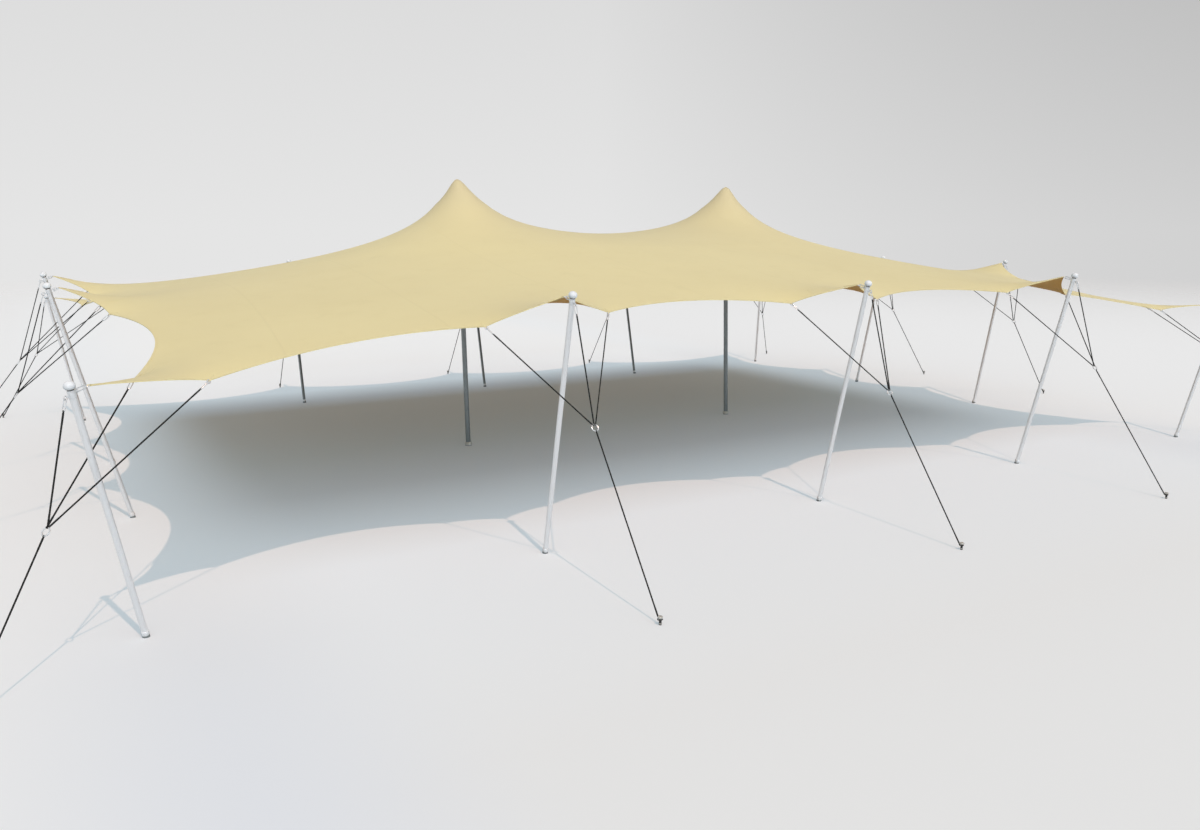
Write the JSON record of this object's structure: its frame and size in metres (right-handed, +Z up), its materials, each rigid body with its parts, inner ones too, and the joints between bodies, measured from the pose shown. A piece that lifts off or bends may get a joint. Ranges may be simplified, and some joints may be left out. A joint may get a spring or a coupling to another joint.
{
  "type": "stretch tent",
  "caption": "Wide stretch-fabric canopy with rounded peaks over centre poles, held out at scalloped edges by leaning poles, ringed guy straps and ground stakes.",
  "frame": {"origin": "on the ground under the middle of the tent", "axes": "+Z up, +X along the long side to the right, +Y from the front long side to the back one"},
  "size_m": [18.074, 13.704, 3.823],
  "materials": {
    "stretch_fabric": "sand-coloured coated stretch fabric, matt",
    "centre_pole_tube": "satin tube with a plain foot sleeve",
    "edge_pole_tube": "satin tube, white ball cap and foot sleeve, dark rubber under it",
    "guy_webbing": "dark woven webbing with bright steel ring and links",
    "stake_steel": "dark steel shaft under a lighter head"
  },
  "bodies": {
    "root": {"canopy": "stretch_fabric", "centre_pole_left": "centre_pole_tube", "centre_pole_right": "centre_pole_tube", "pole_front_1": "edge_pole_tube", "pole_front_2": "edge_pole_tube", "pole_front_3": "edge_pole_tube", "pole_back_1": "edge_pole_tube", "pole_back_2": "edge_pole_tube", "pole_back_3": "edge_pole_tube", "pole_left_1": "edge_pole_tube", "pole_left_2": "edge_pole_tube", "pole_right_1": "edge_pole_tube", "pole_right_2": "edge_pole_tube", "pole_corner_front_left": "edge_pole_tube", "pole_corner_front_right": "edge_pole_tube", "pole_corner_back_left": "edge_pole_tube", "pole_corner_back_right": "edge_pole_tube", "guy_front_1": "guy_webbing", "guy_front_2": "guy_webbing", "guy_front_3": "guy_webbing", "guy_back_1": "guy_webbing", "guy_back_2": "guy_webbing", "guy_back_3": "guy_webbing", "guy_left_1": "guy_webbing", "guy_left_2": "guy_webbing", "guy_right_1": "guy_webbing", "guy_right_2": "guy_webbing", "guy_corner_front_left": "guy_webbing", "guy_corner_front_right": "guy_webbing", "guy_corner_back_left": "guy_webbing", "guy_corner_back_right": "guy_webbing", "stake_front_1": "stake_steel", "stake_front_2": "stake_steel", "stake_front_3": "stake_steel", "stake_back_1": "stake_steel", "stake_back_2": "stake_steel", "stake_back_3": "stake_steel", "stake_left_1": "stake_steel", "stake_left_2": "stake_steel", "stake_right_1": "stake_steel", "stake_right_2": "stake_steel", "stake_corner_front_left": "stake_steel", "stake_corner_front_right": "stake_steel", "stake_corner_back_left": "stake_steel", "stake_corner_back_right": "stake_steel"}
  },
  "joints": []
}
